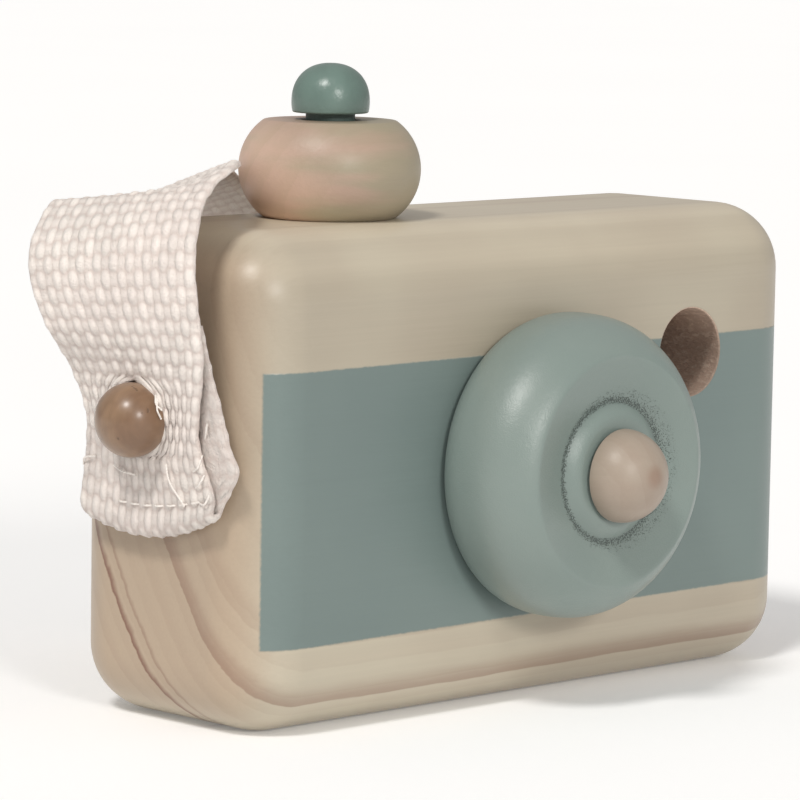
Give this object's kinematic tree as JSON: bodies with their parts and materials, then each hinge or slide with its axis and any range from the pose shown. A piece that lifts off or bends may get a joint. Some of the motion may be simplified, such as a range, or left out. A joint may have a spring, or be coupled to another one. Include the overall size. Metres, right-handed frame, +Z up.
{
  "type": "wooden toy camera",
  "caption": "Rounded wooden pretend-play camera with a turning lens wheel, a sprung shutter button on a round knob, a sight hole and a cotton strap buttoned on ball pegs.",
  "frame": {"origin": "middle of the block's underside, on the surface that it stands on", "axes": "+X to the right as seen from the front, the lens faces -Y, +Z up"},
  "size_m": [0.156, 0.1119, 0.1045],
  "materials": {
    "body_wood": "satin",
    "lens_paint": "satin paint",
    "turned_wood": "satin",
    "button_paint": "satin paint",
    "stem_paint": "matt paint",
    "spring_wire": "bright",
    "peg_lacquer": "gloss lacquer",
    "webbing": "coarse plain weave"
  },
  "bodies": {
    "camera": {"body_block": "body_wood", "lens_peg": "turned_wood", "shutter_knob": "turned_wood", "button_spring": "spring_wire", "strap_peg_left": "peg_lacquer", "strap_peg_right": "peg_lacquer", "strap": "webbing"},
    "lens": {"lens_wheel": "lens_paint"},
    "button": {"button_cap": "button_paint", "button_plunger": "stem_paint"}
  },
  "joints": [
    {"name": "lens_turn", "type": "hinge", "parent": "camera", "child": "lens", "pos_m": [0, -0.03155, 0.0398], "axis": [0, -1, 0], "continuous": true},
    {"name": "shutter_press", "type": "slide", "parent": "camera", "child": "button", "axis": [0, 0, -1], "range_m": [0, 0.00105], "stiffness_N_per_m": 400, "springref_m": -0.001, "deforming": ["button_spring"]}
  ]
}
